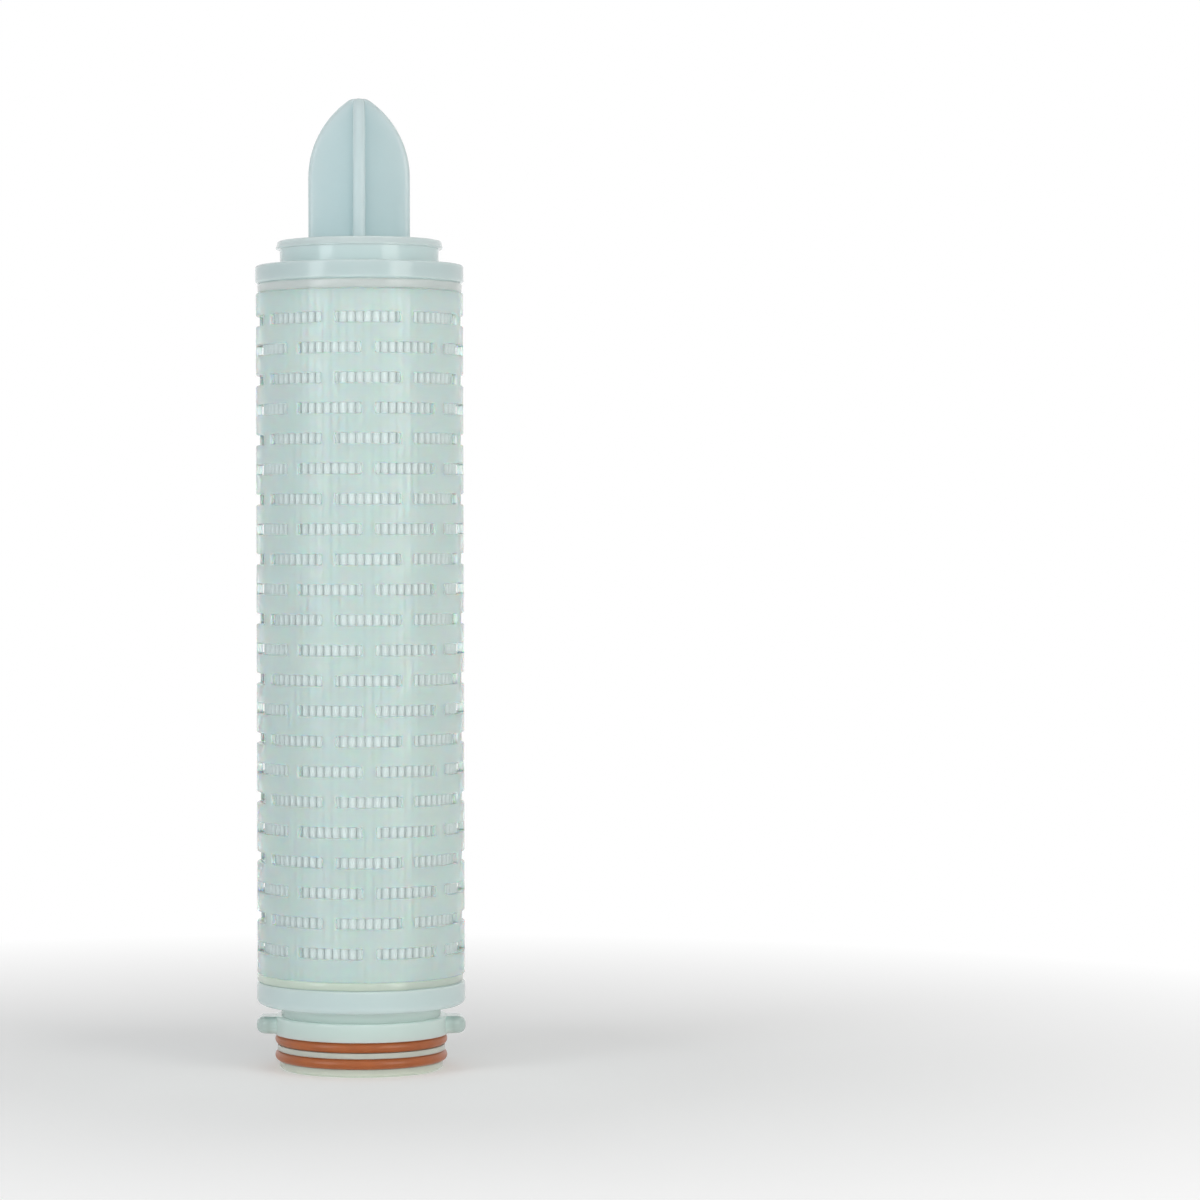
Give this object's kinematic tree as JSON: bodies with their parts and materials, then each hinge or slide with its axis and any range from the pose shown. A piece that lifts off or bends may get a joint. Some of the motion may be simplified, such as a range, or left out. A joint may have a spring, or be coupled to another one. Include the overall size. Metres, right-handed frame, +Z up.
{
  "type": "pleated filter cartridge",
  "caption": "Pleated filter cartridge: slotted cage over a pleated pack, locating fin on top, bayonet seal end with two O-rings below.",
  "frame": {"origin": "centre of the seal end's lower rim, on the surface that the cartridge stands on", "axes": "+Z up the cartridge's axis towards the fin, X through the two bayonet lugs"},
  "size_m": [0.0702, 0.0702, 0.3267],
  "materials": {
    "cage_polypropylene": "milky translucent, moulded",
    "support_nonwoven": "white spunbond",
    "filter_medium": "white microporous sheet",
    "core_polypropylene": "milky, moulded",
    "cap_polypropylene": "pale teal, moulded",
    "fin_polypropylene": "pale blue-grey, moulded",
    "adapter_polypropylene": "pale teal, moulded",
    "ring_silicone": "red-brown silicone"
  },
  "bodies": {
    "root": {"outer_cage": "cage_polypropylene", "outer_support_sheet": "support_nonwoven", "inner_support_sheet": "support_nonwoven", "filter_medium": "filter_medium", "inner_core": "core_polypropylene", "bottom_end_cap": "cap_polypropylene", "top_end_cap": "cap_polypropylene", "locating_fin": "fin_polypropylene", "bayonet_adapter": "adapter_polypropylene", "lower_o_ring": "ring_silicone", "upper_o_ring": "ring_silicone"}
  },
  "joints": []
}
